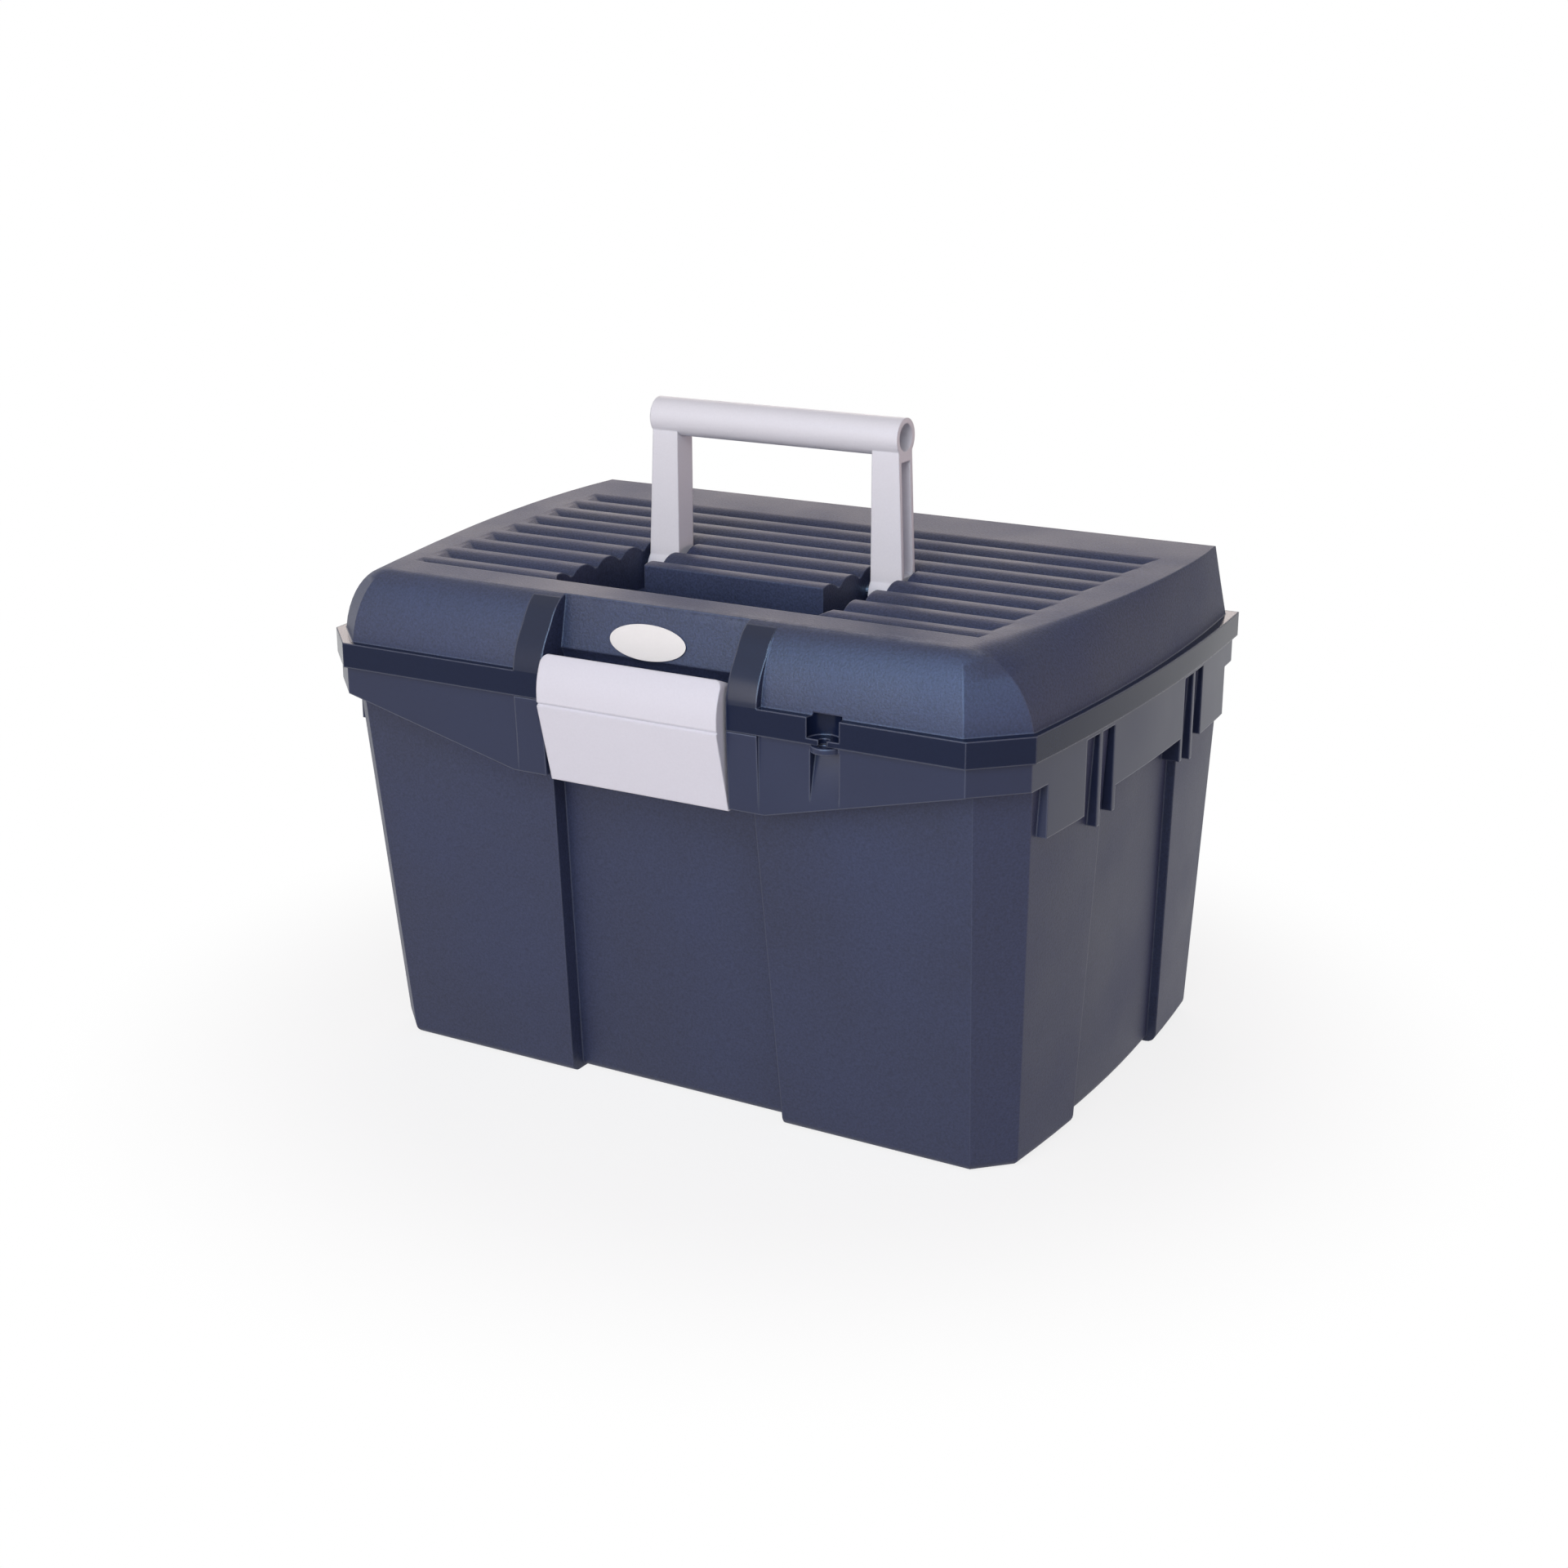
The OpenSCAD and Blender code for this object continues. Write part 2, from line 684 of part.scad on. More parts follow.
// A point of the strips' face at share t of their height; they start flush with the rim's face.
function strip_point(t) = let(
    z = mix(rim_top, parting_z + strip_top, t),
    m = (z - rim_top) / (parting_z + strip_meet - rim_top))
  [dome_y((z - rim_top) / (lid_front_z - rim_top)) - max(strip_out, dome_in_front * (1 - m * m)), z];

// The glossy strips run from the rim's face up the roll on both sides of the latch.
module strips() {
  both_sides() along_x(bay_half, bay_half + strip_w) polygon(concat(
    [for (k = [0:dome_steps]) strip_point(k / dome_steps)],
    [[roll_end, parting_z + strip_top], [roll_end, rim_top - wall], [rim_front, rim_top - wall]]));
}

function rim_plan(d) = plan(rim_half - d, rim_front + d, rim_back - d, end_bow, inner_cut(corner_cut, d));

module rim_band(d, z0, z1) {
  translate([0, 0, z0]) linear_extrude(z1 - z0) polygon(rim_plan(d));
}

// The ribbed field is sunk into the top, and the rib crests come up level with the border.
module rib_valleys() {
  reach = rib_half + rib_spread + ramp_over / 2 * rib_ramp;
  difference() {
    along_x(-reach, reach) difference() {
      polygon([[rib_front, lid_z(rib_front) - rib_depth], [rib_back, lid_z(rib_back) - rib_depth],
        [rib_back, far], [rib_front, far]]);
      for (i = [0:rib_count - 1]) {
        y = rib_front + (i + 0.5) * rib_pitch;
        translate([y, lid_z(y) + crest_flat - rib_r]) circle(r = rib_r);
      }
    }
    both_sides() rib_end();
  }
}

// The valleys run out up this ramp, which slopes with the lid's top and slants with its ends.
module rib_end() {
  low = -(1 + ramp_over) * rib_depth;
  high = ramp_over * rib_depth;
  translate([rib_half, rib_front, lid_z(rib_front)]) rotate([top_slope, 0, 0]) rotate([0, 0, -rib_slant])
    along_y(-far, far) polygon([[-(1 + ramp_over) * rib_ramp, low], [far, low], [far, high],
      [ramp_over * rib_ramp, high]]);
}

// The U-shaped recess that the folded handle lies in, grown by d.
module handle_recess(d) {
  side = recess_half + d;
  low = recess_floor - d;
  difference() {
    slab(-side, side, recess_front - d, island_y + d, low, far);
    both_sides() recess_corner(d);
  }
  both_sides() slab(island_half - d, side, island_y, recess_end + d, low, far);
}

// What the recess's rounded front corner leaves standing.
module recess_corner(d) {
  r = recess_round + d;
  translate([recess_half + d - r, recess_front - d, 0]) linear_extrude(2 * far) difference() {
    translate([0, -wall]) square([r + wall, r + wall]);
    translate([0, r]) circle(r = r);
  }
}

// The latch's bay in the lid: a flat panel and a round pocket about the latch's pivot, grown by d.
module latch_bay(d) {
  low = lid_foot - wall;
  foot_y = panel_top_y - (panel_top_z - low) * tan(panel_lean);
  along_x(-bay_half - d, bay_half + d) {
    polygon([[panel_top_y + d, far], [panel_top_y + d, panel_top_z], [foot_y + d, low],
      [-far, low], [-far, far]]);
    translate([latch_y, latch_z]) circle(r = latch_reach + d);
  }
}

module lid_bosses() {
  boss = pin_seat + boss_wall;
  both_sides() {
    bar(bay_half, bay_half + boss, latch_y, latch_z, latch_pin_d / 2 + boss_wall);
    bar(island_half - boss, island_half, handle_y, handle_z, handle_pin_d / 2 + boss_wall);
    bar(recess_half, recess_half + boss, handle_y, handle_z, handle_pin_d / 2 + boss_wall);
  }
}

module lid_pivot_bores() {
  both_sides() {
    bar(bay_half - eps, bay_half + pin_seat, latch_y, latch_z, latch_pin_d / 2);
    bar(island_half - pin_seat, recess_half + pin_seat, handle_y, handle_z, handle_pin_d / 2);
  }
}

module lid_form() {
  rim_band(0, lid_foot, rim_top);
  dome(0);
  strips();
}

module lid() {
  color(navy) difference() {
    union() {
      difference() {
        lid_form();
        rim_band(wall, lid_foot - eps, rim_top - wall + eps);
        dome_hollow();
      }
      intersection() {
        lid_form();
        union() {
          handle_recess(wall);
          latch_bay(wall);
          lid_bosses();
          eye_post(eye_y - eye_out, lid_foot, rim_top + wall, notch_r + wall);
        }
      }
      knuckle_spans(-knuckle_a, knuckle_a, knuckle_r);
    }
    tub_form(-lip_gap, straight_levels(-lip_gap, lid_foot - eps, lip_top + lip_gap));
    rib_valleys();
    handle_recess(0);
    latch_bay(0);
    eye_post(eye_y - eye_out, lid_foot + eye_t, rim_top + wall / 2, notch_r);
    eye_post(eye_hole_y, lid_foot - eps, rim_top, eye_hole / 2);
    lid_pivot_bores();
    knuckle_spans(knuckle_a, knuckle_c + knuckle_clear, knuckle_r + knuckle_clear);
    knuckle_spans(-knuckle_c - knuckle_clear, -knuckle_a, knuckle_r + knuckle_clear);
    knuckle_spans(-knuckle_a - eps, knuckle_a + eps, hinge_pin_d / 2 + run_fit);
  }
}

// One channel arm: a web on the inside with a rim round its edge, open outwards.
module handle_arm() {
  arm_y = handle_y - arm_d / 2;
  difference() {
    intersection() {
      along_x(arm_in, arm_out) union() {
        translate([arm_y, handle_z]) square([arm_d, handle_rise]);
        translate([handle_y, handle_z]) circle(r = arm_foot_r);
      }
      along_y(-far, far) polygon([[arm_in, 0], [arm_out, 0], [arm_out, handle_z],
        [arm_in + arm_w_top, grip_z], [arm_in, grip_z]]);
    }
    along_x(arm_in + arm_wall, arm_out + eps) translate([arm_y + arm_wall, handle_z + arm_foot_r])
      square([arm_d - 2 * arm_wall, handle_rise - arm_foot_r - grip_r - arm_wall]);
  }
}

module carry_handle() {
  color(light_grey) difference() {
    union() {
      bar(-grip_half, grip_half, handle_y, grip_z, grip_r);
      both_sides() handle_arm();
    }
    bar(-grip_half - eps, grip_half + eps, handle_y, grip_z, grip_bore / 2);
    both_sides() bar(arm_in - eps, arm_out + eps, handle_y, handle_z, handle_pin_d / 2 + run_fit);
  }
}

// The latch's outer profile as (y, z), top to bottom, stepped in by d, with the groove at the parting line.
function latch_profile(d) = let(
    n = end_steps,
    bulge_z = parting_z + latch_bulge,
    rise = latch_top - latch_bulge,
    r = (latch_roll * latch_roll + rise * rise) / (2 * latch_roll),
    a = asin(rise / r),
    y = latch_front + d)
  concat(
    [for (i = [0:n])
      let(g = 180 - a * (1 - i / n)) [latch_front + r + (r - d) * cos(g), bulge_z + (r - d) * sin(g)]],
    [[y, parting_z + groove_w / 2], [y + latch_groove, parting_z], [y, parting_z - groove_w / 2],
      [y + latch_tuck, parting_z - latch_drop]]);

// The skin with its rounded top corners.
module latch_skin() {
  outer = latch_profile(0);
  inner = latch_profile(latch_t);
  n = len(inner);
  difference() {
    along_x(-latch_half, latch_half) polygon(concat(outer, [for (i = [n - 1:-1:0]) inner[i]]));
    both_sides() latch_corner();
  }
}

// What the rounded top corner leaves away.
module latch_corner() {
  along_y(-far, far) difference() {
    translate([latch_half - latch_round, parting_z + latch_top - latch_round]) square(latch_round + wall);
    translate([latch_half - latch_round, parting_z + latch_top - latch_round]) circle(r = latch_round);
  }
}

// A cheek that joins the skin to the pivot.
module latch_cheek() {
  cheek_back = catch_front - swing_gap;
  difference() {
    along_x(latch_half - cheek_t, latch_half) union() {
      polygon(concat(latch_profile(0), [[cheek_back, parting_z - latch_drop], [cheek_back, parting_z],
        [latch_y + ear_r, latch_z], [latch_y, latch_z + ear_r]]));
      translate([latch_y, latch_z]) circle(r = ear_r);
    }
    latch_corner();
  }
}

// The bead inside the latch that meets the tub's shelf.
module latch_bead() {
  skin_y = latch_front + latch_tuck * (catch_drop + catch_t) / latch_drop + latch_t / 2;
  slab(-bead_half, bead_half, skin_y, catch_front - shut_gap, catch_z - catch_t, catch_z);
}

module latch() {
  color(light_grey) difference() {
    union() {
      latch_skin();
      both_sides() latch_cheek();
      latch_bead();
    }
    bar(-latch_half - eps, latch_half + eps, latch_y, latch_z, latch_pin_d / 2 + run_fit);
  }
}

module badge() {
  z = parting_z + badge_up;
  y = panel_top_y - (panel_top_z - z) * tan(panel_lean);
  color(white) translate([badge_x, y, z]) rotate([90 - panel_lean, 0, 0])
    linear_extrude(badge_t) scale([badge_w / badge_h, 1]) circle(d = badge_h);
}

module hinge_pin() {
  color(steel) bar(hinge_x - knuckle_c, hinge_x + knuckle_c, hinge_y, hinge_z, hinge_pin_d / 2);
}

module handle_pin() {
  color(steel) bar(island_half - pin_seat, recess_half + pin_seat, handle_y, handle_z, handle_pin_d / 2);
}

module latch_pin() {
  color(steel) bar(-bay_half - pin_seat, bay_half + pin_seat, latch_y, latch_z, latch_pin_d / 2);
}

function tray_plan(d) = let(
    front_in = mix(foot_in_front, top_in_front, tray_share) + front_recess + tray_in,
    back_in = mix(foot_in_back, top_in_back, tray_share) + end_recess + tray_in)
  plan(tray_half - d, rim_front + front_in + d, rim_back - back_in - d, end_bow, inner_cut(corner_cut, d));

module lift_out_tray() {
  color(light_grey) translate([0, 0, tray_z0]) difference() {
    linear_extrude(tray_h) polygon(tray_plan(0));
    translate([0, 0, tray_wall]) linear_extrude(tray_h) difference() {
      polygon(tray_plan(tray_wall));
      for (x = [-tray_mid, tray_mid]) translate([x - tray_wall / 2, -far]) square([tray_wall, 2 * far]);
    }
  }
}

tub();
lid();
carry_handle();
latch();
badge();
mirror([1, 0, 0]) hinge_pin();  // hinge_pin_left
hinge_pin();  // hinge_pin_right
mirror([1, 0, 0]) handle_pin();  // handle_pin_left
handle_pin();  // handle_pin_right
latch_pin();
lift_out_tray();
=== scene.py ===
import math

import bmesh
import bpy
from mathutils import Matrix, Vector


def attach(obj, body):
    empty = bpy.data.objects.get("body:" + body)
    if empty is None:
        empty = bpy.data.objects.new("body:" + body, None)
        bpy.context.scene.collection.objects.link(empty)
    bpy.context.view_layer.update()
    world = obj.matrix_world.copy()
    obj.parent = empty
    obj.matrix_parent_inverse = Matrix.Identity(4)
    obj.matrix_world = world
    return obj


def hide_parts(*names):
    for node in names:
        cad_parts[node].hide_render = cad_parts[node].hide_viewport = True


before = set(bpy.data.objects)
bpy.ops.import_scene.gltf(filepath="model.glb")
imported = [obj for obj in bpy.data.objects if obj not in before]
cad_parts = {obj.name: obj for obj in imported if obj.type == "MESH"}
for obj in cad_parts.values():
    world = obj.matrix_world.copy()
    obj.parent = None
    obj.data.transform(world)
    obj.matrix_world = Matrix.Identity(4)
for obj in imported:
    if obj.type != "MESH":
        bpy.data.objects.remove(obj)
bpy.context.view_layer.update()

MM = 0.001

# Borders between the finishes on lid and tub, in millimetres.
RIM_TOP = 221.65       # top of the lid's rim band
COLLAR_LOW = 160       # lowest point of the tub's collar
COLLAR_FRONT = -134.5  # the collar's front stands before this
BAY_HALF = 51          # half the width of the latch's bay
STRIP_W = 16           # width of the strips beside the bay
STRIP_TOP = 255
ROLL_END = -116.5      # where the lid's rolled front meets its top
BORDER_SLACK = 0.1     # so that a face on a border falls on the right side

# Wear along the lid's upper front edge, in millimetres.
SCUFF_REACH = 5        # to either side of the edge
SCUFF_DROP = 4         # below the edge
SCUFF_LEFT, SCUFF_RIGHT = -80, 140

# Meshes and plastics.
WELD = 0.002           # mm, points this close are one
CREASE = 28            # degrees, a sharper edge stays sharp
GRAIN_DEPTH = 0.16     # mm
WIRE_DEPTH = 0.05      # mm
PLASTIC_IOR = 1.49

# The floor glows white to the eye, less so near the box, where its shadow lies; in metres.
FLOOR_SIZE = 12
SHADOW_NEAR, SHADOW_FAR = 0.2, 0.4
SHADOW_GLOW = 0.82
FLOOR_WHITE = "#F4F4F4"
ROOM_LIGHT = "#F0EAF2"
ROOM_POWER = 0.28

# Camera of the photograph, in degrees, millimetres and pixels.
CAMERA_AZIMUTH = 29.7
CAMERA_ELEVATION = 18.0
CAMERA_PLACE = (582.9, -1020.2, 517.5)
FOCAL_PIXELS = 2894.4
IMAGE_PIXELS = 1920
SENSOR = 36

# Colours as they look in plain light.
NAVY = "#2D324C"
NAVY_SATIN = "#272E49"
NAVY_GLOSS = "#17203A"
LATCH_GREY = "#DEDFE7"
# Painted light: the handle's grey is paler than the latch's to make up for the lamp light the
# handle lacks.
HANDLE_GREY_PAINTED_LIGHT = "#ECEDF2"
TRAY_GREY = "#A9ABB2"
BADGE_WHITE = "#F2F2EF"
# Painted shade: a dark colour on the badge's thin edge stands in for the shadow around it.
BADGE_SHADE = "#3C4460"
STEEL = "#B4B6BA"
# Pale colour for a painted highlight along edges, and for wear along the lid's front edge.
PALE_HIGHLIGHT_AND_WEAR = "#868DA0"


def linear(colour):
    """A #RRGGBB colour as linear RGBA."""
    parts = [int(colour[i:i + 2], 16) / 255 for i in (1, 3, 5)]
    return [p / 12.92 if p <= 0.04045 else ((p + 0.055) / 1.055) ** 2.4 for p in parts] + [1]


def shade(colour, factor):
    """A linear colour made lighter or darker."""
    return [min(1, c * factor) for c in linear(colour)[:3]] + [1]


class Nodes:
    """A material's node tree, built one linked node at a time."""

    def __init__(self, name):
        self.material = bpy.data.materials.new(name)
        self.material.use_nodes = True
        self.tree = self.material.node_tree
        self.tree.nodes.clear()

    def add(self, kind, settings=None, **inputs):
        """Adds a node; an input is a number, a colour or another node's output."""
        node = self.tree.nodes.new(kind)
        for key, value in (settings or {}).items():
            setattr(node, key, value)
        for key, value in inputs.items():
            socket = node.inputs[key.replace("_", " ")]
            if isinstance(value, bpy.types.NodeSocket):
                self.tree.links.new(value, socket)
            else:
                socket.default_value = value
        return node

    def ramp(self, factor, stops):
        """A colour that goes through the stops, each a place and a colour."""
        node = self.add("ShaderNodeValToRGB", Fac=factor)
        while len(node.color_ramp.elements) < len(stops):
            node.color_ramp.elements.new(0.5)
        for element, (place, colour) in zip(node.color_ramp.elements, stops):
            element.position = place
            element.color = colour
        return node.outputs["Color"]

    def paler(self, tone, share):
        """A tone that turns by a share from 0 to 1 to the pale colour, a painted highlight on edges
        and wear on the lid's front edge.
        """
        mix = self.add("ShaderNodeMix", {"data_type": "RGBA"}, Factor=share)
        tone_socket, highlight_and_wear_socket = [s for s in mix.inputs if s.type == "RGBA"]
        self.tree.links.new(tone, tone_socket)
        highlight_and_wear_socket.default_value = linear(PALE_HIGHLIGHT_AND_WEAR)
        return next(s for s in mix.outputs if s.type == "RGBA")

    def span(self, value, start, end, low=0.0, high=1.0):
        """A value's place between start and end, from low to high."""
        node = self.add("ShaderNodeMapRange", Value=value)
        limits = {"From Min": start, "From Max": end, "To Min": low, "To Max": high}
        for name, number in limits.items():
            node.inputs[name].default_value = number
        return node.outputs["Result"]

    def product(self, *factors):
        """The product of several values."""
        result = factors[0]
        for factor in factors[1:]:
            node = self.add("ShaderNodeMath", {"operation": "MULTIPLY"})
            self.tree.links.new(result, node.inputs[0])
            self.tree.links.new(factor, node.inputs[1])
            result = node.outputs["Value"]
        return result

    def scuffs(self, place):
        """Patchy wear along the lid's upper front edge, stronger towards its right."""
        axes = self.add("ShaderNodeSeparateXYZ", Vector=place).outputs
        edge = ROLL_END * MM
        before = self.span(axes["Y"], edge - SCUFF_REACH * MM, edge)
        after = self.span(axes["Y"], edge + SCUFF_REACH * MM, edge)
        right = self.span(axes["X"], SCUFF_LEFT * MM, SCUFF_RIGHT * MM, 0.25, 1.0)
        high = self.span(axes["Z"], (STRIP_TOP - SCUFF_DROP) * MM, STRIP_TOP * MM)
        noise = self.add("ShaderNodeTexNoise", Vector=place, Scale=120.0, Detail=6.0,
                         Roughness=0.75)
        patch = self.span(noise.outputs["Fac"], 0.45, 0.7, 0.0, 0.5)
        return self.product(before, after, right, high, patch)

    def near_edge(self, edges, most):
        """Rises to most along an edge, where the rounded normal turns from the face's own; it masks
        the painted edge highlight.
        """
        true = self.add("ShaderNodeNewGeometry").outputs["Normal"]
        facing = self.add("ShaderNodeVectorMath", {"operation": "DOT_PRODUCT"})
        self.tree.links.new(edges, facing.inputs[0])
        self.tree.links.new(true, facing.inputs[1])
        return self.span(facing.outputs["Value"], 0.995, 0.93, 0.0, most)


def plastic(name, colour, roughness, grain, edge=1.2, mottle=0.07, sheen=0.25, edge_highlight=0.0,
            scuffed=False):
    """Moulded plastic: mottled colour, uneven gloss, a grain and soft edges.

    Its edges are rounded over edge millimetres and made paler by a painted highlight, whose share
    is the argument after sheen.
    """
    n = Nodes(name)
    place = n.add("ShaderNodeTexCoord").outputs["Object"]
    cloud = n.add("ShaderNodeTexNoise", Vector=place, Scale=14.0, Detail=4.0).outputs["Fac"]
    grains = n.add("ShaderNodeTexNoise", Vector=place, Scale=900, Detail=3.0, Roughness=0.6)
    speck = grains.outputs["Fac"]
    mixed = n.add("ShaderNodeMix", {"data_type": "FLOAT"}, Factor=0.75, A=cloud, B=speck)
    dark, pale = shade(colour, 1 - mottle), shade(colour, 1 + mottle)
    tone = n.ramp(mixed.outputs["Result"], [(0.3, dark), (0.5, linear(colour)), (0.7, pale)])
    gloss = n.span(cloud, 0.3, 0.7, roughness * 0.88, roughness * 1.12)
    edges = n.add("ShaderNodeBevel", {"samples": 8}, Radius=edge * MM).outputs["Normal"]
    bump = n.add("ShaderNodeBump", Strength=grain, Distance=GRAIN_DEPTH * MM, Height=speck,
                 Normal=edges).outputs["Normal"]
    # Painted highlight: the edges turn pale by the given share.
    base = n.paler(tone, n.near_edge(edges, edge_highlight)) if edge_highlight else tone
    base = n.paler(base, n.scuffs(place)) if scuffed else base
    shader = n.add("ShaderNodeBsdfPrincipled", Roughness=gloss, Normal=bump, IOR=PLASTIC_IOR)
    shader.inputs["Specular IOR Level"].default_value = sheen
    n.tree.links.new(base, shader.inputs["Base Color"])
    n.add("ShaderNodeOutputMaterial", Surface=shader.outputs["BSDF"])
    return n.material


def metal(name, colour):
    """Drawn steel wire: fine lines along X and a few duller patches."""
    n = Nodes(name)
    place = n.add("ShaderNodeTexCoord").outputs["Object"]
    drawn = n.add("ShaderNodeMapping", Vector=place, Scale=(30, 2500, 2500)).outputs["Vector"]
    lines = n.add("ShaderNodeTexNoise", Vector=drawn, Scale=1.0, Detail=3.0).outputs["Fac"]
    base = n.ramp(lines, [(0.3, shade(colour, 0.8)), (0.7, shade(colour, 1.1))])
    bump = n.add("ShaderNodeBump", Strength=0.2, Distance=WIRE_DEPTH * MM, Height=lines)
    dull = n.span(lines, 0.3, 0.7, 0.24, 0.38)
    shader = n.add("ShaderNodeBsdfPrincipled", Metallic=1.0, Roughness=dull,
                   Normal=bump.outputs["Normal"])
    n.tree.links.new(base, shader.inputs["Base Color"])
    n.add("ShaderNodeOutputMaterial", Surface=shader.outputs["BSDF"])
    return n.material


def shell(node, body, materials, region=None):
    """A piece with the node's shape, smooth over its curves, and a material for each region."""
    mesh = bpy.data.meshes.new(node + "_look")
    bm = bmesh.new()
    bm.from_mesh(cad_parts[node].data)
    bmesh.ops.remove_doubles(bm, verts=bm.verts, dist=WELD * MM)
    bmesh.ops.dissolve_degenerate(bm, edges=bm.edges, dist=WELD * MM)
    for edge in bm.edges:
        edge.smooth = len(edge.link_faces) == 2 and edge.calc_face_angle() < math.radians(CREASE)
    for face in bm.faces:
        face.smooth = True
        centre = face.calc_center_median() / MM
        face.material_index = region(centre, face.normal) if region else 0
    bm.to_mesh(mesh)
    bm.free()
    piece = bpy.data.objects.new(node + "_look", mesh)
    bpy.context.scene.collection.objects.link(piece)
    for material in materials:
        mesh.materials.append(material)
    weighted = piece.modifiers.new("weighted normals", "WEIGHTED_NORMAL")
    weighted.keep_sharp = True
    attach(piece, body)
    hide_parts(node)


def lid_region(place, normal):
    """1 on the rim band, 2 on the strips beside the latch, 3 on the rolled front, else 0."""
    if place.z < RIM_TOP + BORDER_SLACK:
        return 1
    if place.y > ROLL_END or normal.y > -0.1:
        return 0
    beside_bay = abs(place.x) - BAY_HALF
    beside_latch = BORDER_SLACK / 2 < beside_bay < STRIP_W + BORDER_SLACK / 2
    return 2 if beside_latch and place.z < STRIP_TOP else 3


def tub_region(place, normal):
    """1 on the smooth collar with its tabs and fins, 0 on the grained walls, which lean inwards."""
    if place.z < COLLAR_LOW:
        return 0
    return 1 if place.y < COLLAR_FRONT or abs(normal.z) < 0.02 else 0


def badge_region(place, normal):
    """1 on the badge's thin edge, coloured dark as painted shade, 0 on its face."""
    return 0 if normal.y < -0.8 and normal.z > 0 else 1


def place_camera():
    """The photograph's camera, with its lens from the focal length in pixels."""
    azimuth, elevation = math.radians(CAMERA_AZIMUTH), math.radians(CAMERA_ELEVATION)
    level = math.cos(elevation)
    back = Vector((math.sin(azimuth) * level, -math.cos(azimuth) * level, math.sin(elevation)))
    right = Vector((math.cos(azimuth), math.sin(azimuth), 0))
    turn = Matrix((right, back.cross(right), back)).transposed().to_4x4()
    data = bpy.data.cameras.new("camera")
    data.sensor_width = SENSOR
    data.lens = FOCAL_PIXELS / IMAGE_PIXELS * SENSOR
    camera = bpy.data.objects.new("camera", data)
    camera.matrix_world = Matrix.Translation(Vector(CAMERA_PLACE) * MM) @ turn
    bpy.context.scene.collection.objects.link(camera)
    bpy.context.scene.camera = camera


def softbox(name, place, target, size, power, colour):
    """A rectangular lamp in metres and watts, turned to its target."""
    data = bpy.data.lights.new(name, "AREA")
    data.shape = "RECTANGLE"
    data.size, data.size_y = size
    data.energy = power
    data.color = linear(colour)[:3]
    lamp = bpy.data.objects.new(name, data)
    lamp.location = place
    lamp.rotation_euler = (Vector(target) - Vector(place)).to_track_quat("-Z", "Y").to_euler()
    bpy.context.scene.collection.objects.link(lamp)
    return lamp


def seen_rays(tree, path):
    """1 for the rays that show a surface's look: camera, glossy and transmission rays."""
    shown = path["Is Camera Ray"]
    for kind in ("Is Glossy Ray", "Is Transmission Ray"):
        most = tree.nodes.new("ShaderNodeMath")
        most.operation = "MAXIMUM"
        tree.links.new(shown, most.inputs[0])
        tree.links.new(path[kind], most.inputs[1])
        shown = most.outputs[0]
    return shown


def white_room():
    """A white floor that keeps the shadow, and a world that looks white and lights evenly."""
    n = Nodes("floor_white")
    path = n.add("ShaderNodeLightPath").outputs
    lit = n.add("ShaderNodeBsdfDiffuse", Color=linear(FLOOR_WHITE)).outputs["BSDF"]
    glow = n.add("ShaderNodeEmission", Color=(1, 1, 1, 1), Strength=1.0).outputs["Emission"]
    place = n.add("ShaderNodeTexCoord").outputs["Object"]
    far = n.add("ShaderNodeVectorMath", {"operation": "LENGTH"}, Vector=place).outputs["Value"]
    open_floor = n.add("ShaderNodeMapRange", {"interpolation_type": "SMOOTHSTEP"}, Value=far)
    open_floor.inputs["From Min"].default_value = SHADOW_NEAR
    open_floor.inputs["From Max"].default_value = SHADOW_FAR
    open_floor.inputs["To Min"].default_value = SHADOW_GLOW
    open_floor.inputs["To Max"].default_value = 1.0
    seen = n.add("ShaderNodeMath", {"operation": "MULTIPLY"})
    n.tree.links.new(seen_rays(n.tree, path), seen.inputs[0])
    n.tree.links.new(open_floor.outputs["Result"], seen.inputs[1])
    mix = n.add("ShaderNodeMixShader", Fac=seen.outputs["Value"])
    n.tree.links.new(lit, mix.inputs[1])
    n.tree.links.new(glow, mix.inputs[2])
    n.add("ShaderNodeOutputMaterial", Surface=mix.outputs["Shader"])
    bpy.ops.mesh.primitive_plane_add(size=FLOOR_SIZE, location=(0, 0, 0))
    floor = bpy.context.object
    floor.name = "floor"
    floor.data.materials.append(n.material)

    world = bpy.data.worlds.new("studio")
    bpy.context.scene.world = world
    world.use_nodes = True
    tree = world.node_tree
    tree.nodes.clear()
    path = tree.nodes.new("ShaderNodeLightPath").outputs
    soft = tree.nodes.new("ShaderNodeBackground")
    soft.inputs["Color"].default_value = linear(ROOM_LIGHT)
    soft.inputs["Strength"].default_value = ROOM_POWER
    seen = tree.nodes.new("ShaderNodeBackground")
    seen.inputs["Color"].default_value = (1, 1, 1, 1)
    seen.inputs["Strength"].default_value = 1.0
    mix = tree.nodes.new("ShaderNodeMixShader")
    out = tree.nodes.new("ShaderNodeOutputWorld")
    tree.links.new(seen_rays(tree, path), mix.inputs[0])
    tree.links.new(soft.outputs[0], mix.inputs[1])
    tree.links.new(seen.outputs[0], mix.inputs[2])
    tree.links.new(mix.outputs[0], out.inputs["Surface"])


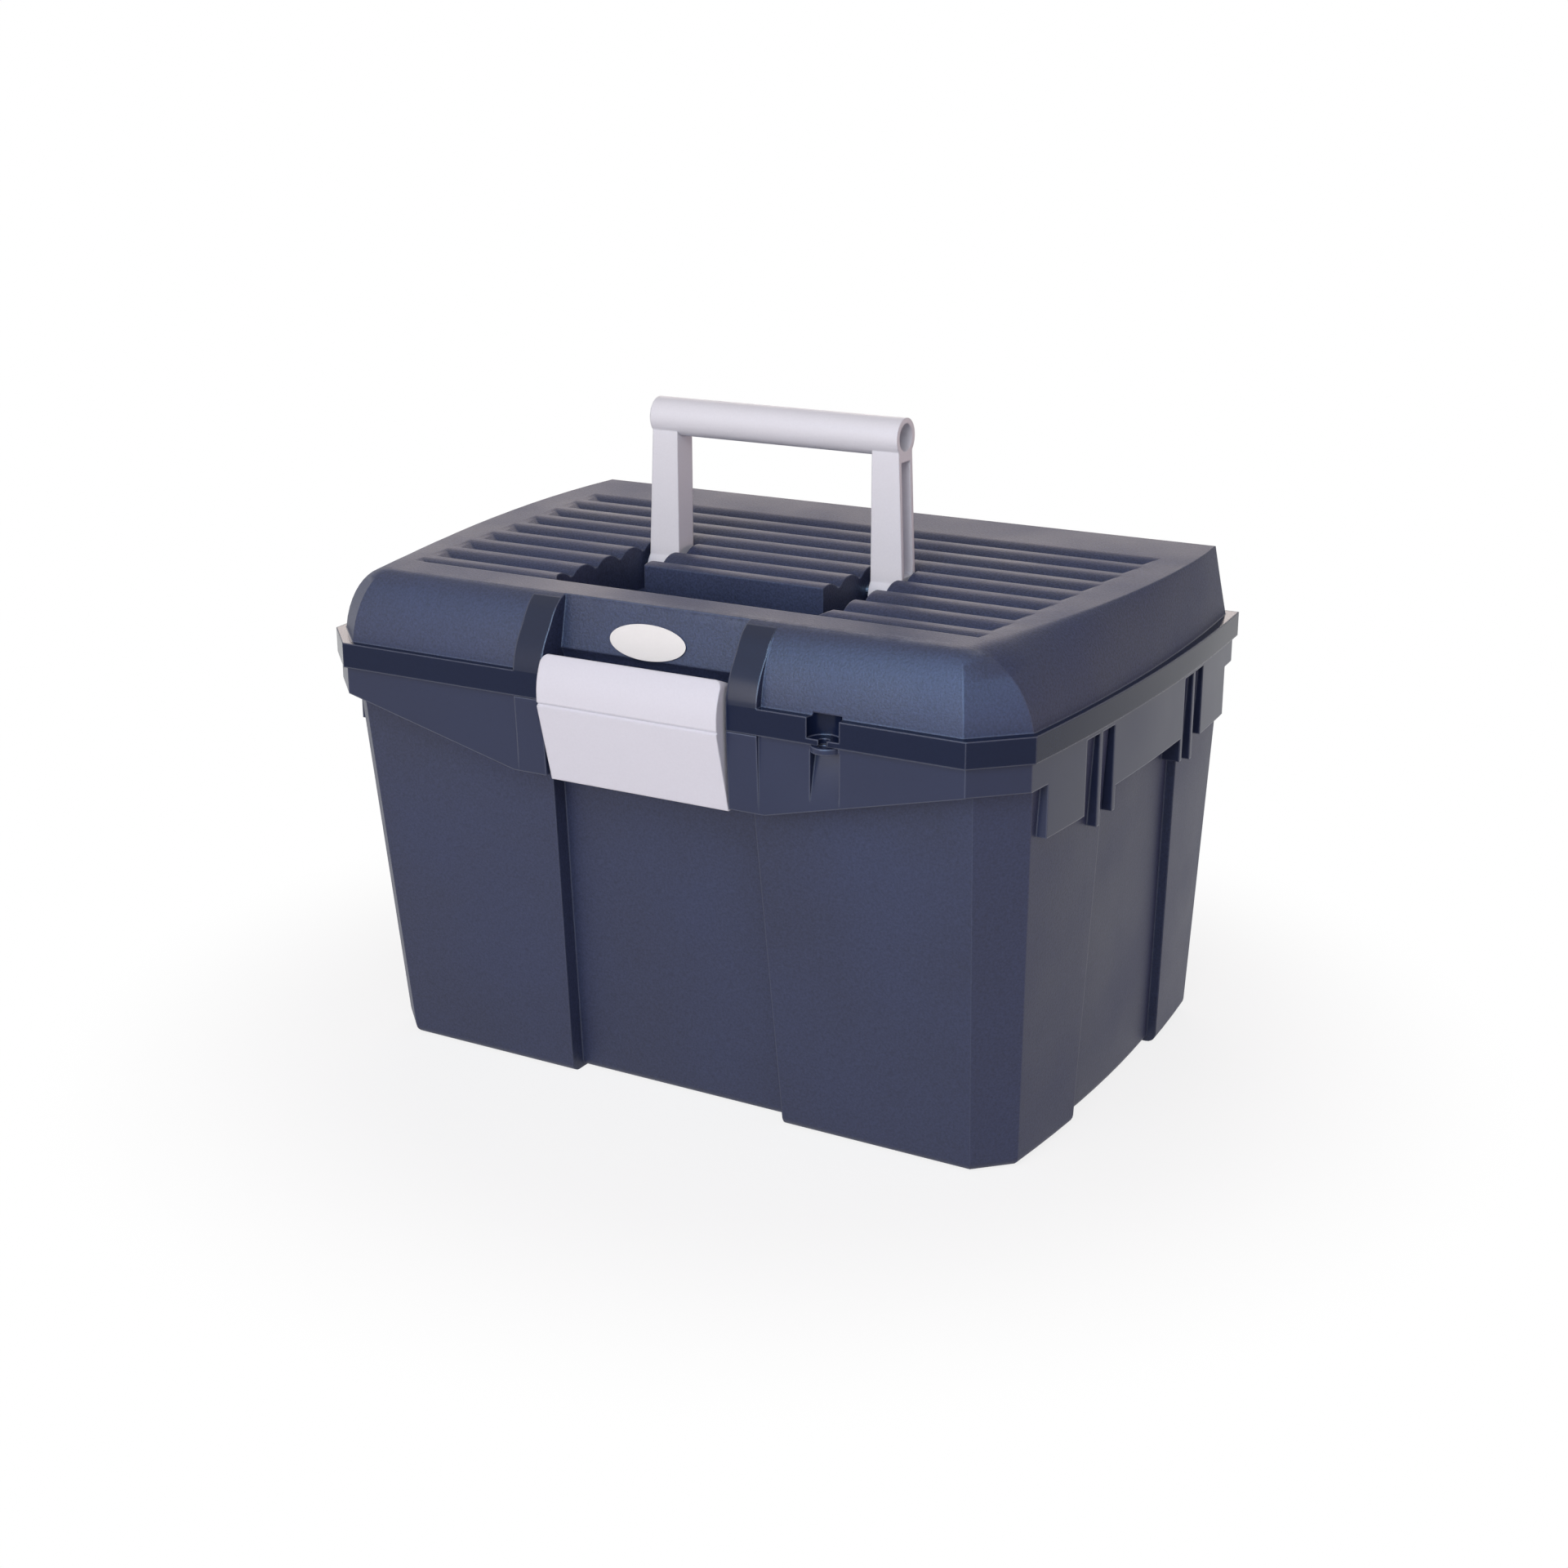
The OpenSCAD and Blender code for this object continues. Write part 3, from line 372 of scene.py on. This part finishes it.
bpy.context.scene.view_settings.view_transform = "Standard"
place_camera()
white_room()
softbox("key", (0.25, -0.75, 0.85), (0.1, -0.13, 0.24), (0.6, 0.35), 2.6, "#F8F8FF")
softbox("front", (-0.2, -2.0, 0.7), (0, 0, 0.15), (1.6, 1.0), 17, "#FFF8F8")
softbox("side", (1.7, 0.3, 0.4), (0, 0, 0.15), (1.2, 0.8), 4.5, "#FFD2CC")
softbox("back", (-1.0, 1.7, 1.0), (0, 0, 0.25), (1.6, 0.8), 11, "#FFEDE6")
sky = softbox("sky", (0.3, -0.95, 0.8), (0.1, -0.13, 0.24), (1.1, 0.9), 27, "#8FCBFF")
sky.visible_diffuse = False  # it only makes the blue sheen

# Each plastic's edge share paints a highlight along its edges.
tub_navy = plastic("tub_navy", NAVY, 0.52, 0.8, mottle=0.32, sheen=0.40, edge_highlight=0.12)
lid_navy = plastic("lid_navy", NAVY, 0.55, 1.0, mottle=0.5, sheen=0.28, edge_highlight=0.12, scuffed=True)
roll_navy = plastic("roll_navy", NAVY, 0.52, 1.0, mottle=0.5, sheen=0.43, edge_highlight=0.12, scuffed=True)
satin = plastic("navy_satin", NAVY_SATIN, 0.34, 0.08, mottle=0.05, sheen=0.34, edge_highlight=0.3)
gloss = plastic("navy_gloss", NAVY_GLOSS, 0.22, 0.05, sheen=0.16, edge_highlight=0.35)
strip_gloss = plastic("strip_gloss", NAVY_GLOSS, 0.24, 0.05, sheen=0.36, edge_highlight=0.35)
latch_grey = plastic("latch_grey", LATCH_GREY, 0.40, 0.06, mottle=0.02, sheen=0.15)
# Painted light: the handle's plastic is paler than the latch's.
handle_grey_painted_light = plastic("handle_grey_painted_light", HANDLE_GREY_PAINTED_LIGHT, 0.42, 0.1, mottle=0.02, sheen=0.15)
tray_grey = plastic("tray_grey", TRAY_GREY, 0.45, 0.15, mottle=0.04)
white = plastic("badge_white", BADGE_WHITE, 0.35, 0.03, edge=0.3, mottle=0.015)
# Painted shade: the badge's edge is coloured dark.
badge_shade = plastic("badge_shade", BADGE_SHADE, 0.4, 0.05, edge=0.1, mottle=0.05)
steel = metal("pin_steel", STEEL)

shell("tub", "tub", [tub_navy, satin], tub_region)
shell("lid", "lid", [lid_navy, gloss, strip_gloss, roll_navy], lid_region)
shell("carry_handle", "carry_handle", [handle_grey_painted_light])
shell("latch", "latch", [latch_grey])
shell("badge", "lid", [white, badge_shade], badge_region)
shell("lift_out_tray", "tray", [tray_grey])
for side in ("left", "right"):
    shell("hinge_pin_" + side, "tub", [steel])
    shell("handle_pin_" + side, "lid", [steel])
shell("latch_pin", "lid", [steel])
